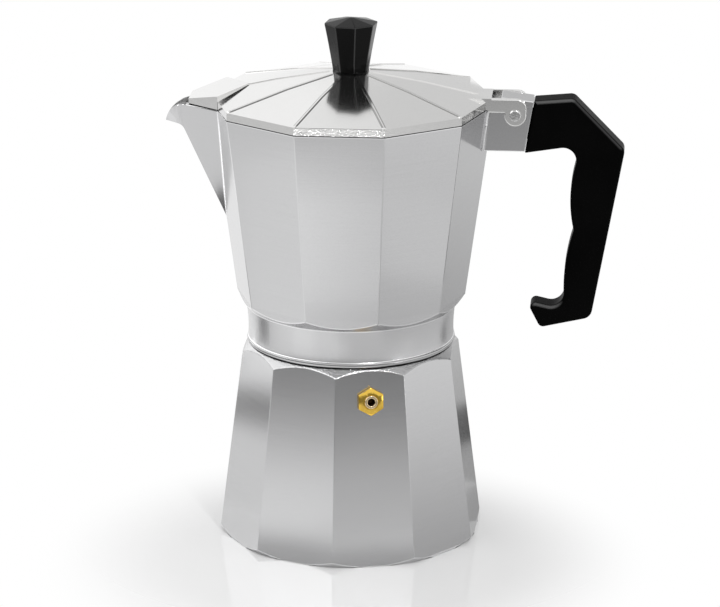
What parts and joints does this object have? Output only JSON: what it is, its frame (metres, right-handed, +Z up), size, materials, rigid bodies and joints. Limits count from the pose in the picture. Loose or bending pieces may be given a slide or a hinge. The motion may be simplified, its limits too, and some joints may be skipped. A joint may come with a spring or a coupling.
{
  "type": "moka pot",
  "caption": "Stove-top moka pot with faceted aluminium boiler and collector, beak spout, hinged lid with a knob, brass safety valve and black side handle.",
  "frame": {"origin": "on the table, under the middle of the boiler's base", "axes": "+Z up along the boiler's turning axis, +X towards the handle, -X towards the spout"},
  "size_m": [0.1825, 0.1078, 0.2118],
  "materials": {
    "boiler_aluminium": "satin brushed cast aluminium",
    "collector_aluminium": "satin brushed cast aluminium",
    "column_aluminium": "fine machined aluminium",
    "lid_aluminium": "bright satin pressed aluminium",
    "inner_aluminium": "plain pressed aluminium",
    "valve_brass": "turned brass, lightly worn",
    "bush_brass": "turned brass, pale",
    "fastener_steel": "plain zinc-plated steel",
    "pin_steel": "riveted steel",
    "handle_black": "black moulded phenolic, semi-gloss",
    "knob_black": "black moulded phenolic, semi-gloss",
    "gasket_silicone": "white silicone, matt",
    "seal_rubber": "black rubber, matt",
    "washer_fibre": "red fibre sealing washer"
  },
  "bodies": {
    "base": {"boiler": "boiler_aluminium", "valve_washer": "washer_fibre", "valve_body": "valve_brass", "valve_bush": "bush_brass", "valve_spring": "fastener_steel"},
    "valve_plunger": {"valve_poppet": "bush_brass", "valve_seal": "seal_rubber"},
    "basket": {"funnel": "inner_aluminium", "funnel_sieve": "inner_aluminium"},
    "seal": {"gasket": "gasket_silicone"},
    "filter": {"filter_plate": "inner_aluminium"},
    "upper_pot": {"collector": "collector_aluminium", "coffee_column": "column_aluminium", "handle": "handle_black", "handle_screw": "fastener_steel", "hinge_pin": "pin_steel"},
    "lid": {"lid": "lid_aluminium", "knob": "knob_black", "knob_washer": "fastener_steel", "knob_screw": "fastener_steel"}
  },
  "joints": [
    {"name": "valve_lift", "type": "slide", "parent": "base", "child": "valve_plunger", "axis": [0.2552, -0.9592, 0.1219], "range_m": [0, 0.0015], "stiffness_N_per_m": 700, "springref_m": -0.0015, "deforming": ["valve_spring"]},
    {"name": "funnel_lift", "type": "slide", "parent": "base", "child": "basket", "axis": [0, 0, 1], "range_m": [0, 0.095]},
    {"name": "collector_lift", "type": "slide", "parent": "basket", "child": "seal", "axis": [0, 0, 1], "range_m": [0, 0.08]},
    {"name": "thread_rise", "type": "slide", "parent": "seal", "child": "filter", "axis": [0, 0, 1], "range_m": [0, 0.0045]},
    {"name": "collector_turn", "type": "hinge", "parent": "filter", "child": "upper_pot", "pos_m": [0, 0, 0.0935], "axis": [0, 0, 1], "range_deg": [0, 540]},
    {"name": "lid_hinge", "type": "hinge", "parent": "upper_pot", "child": "lid", "pos_m": [0.0654, 0, 0.17525], "axis": [0, 1, 0], "range_deg": [0, 105]}
  ],
  "couplings": [
    {"joint": "thread_rise", "follows": "collector_turn", "m_per_rad": 0.000477}
  ]
}
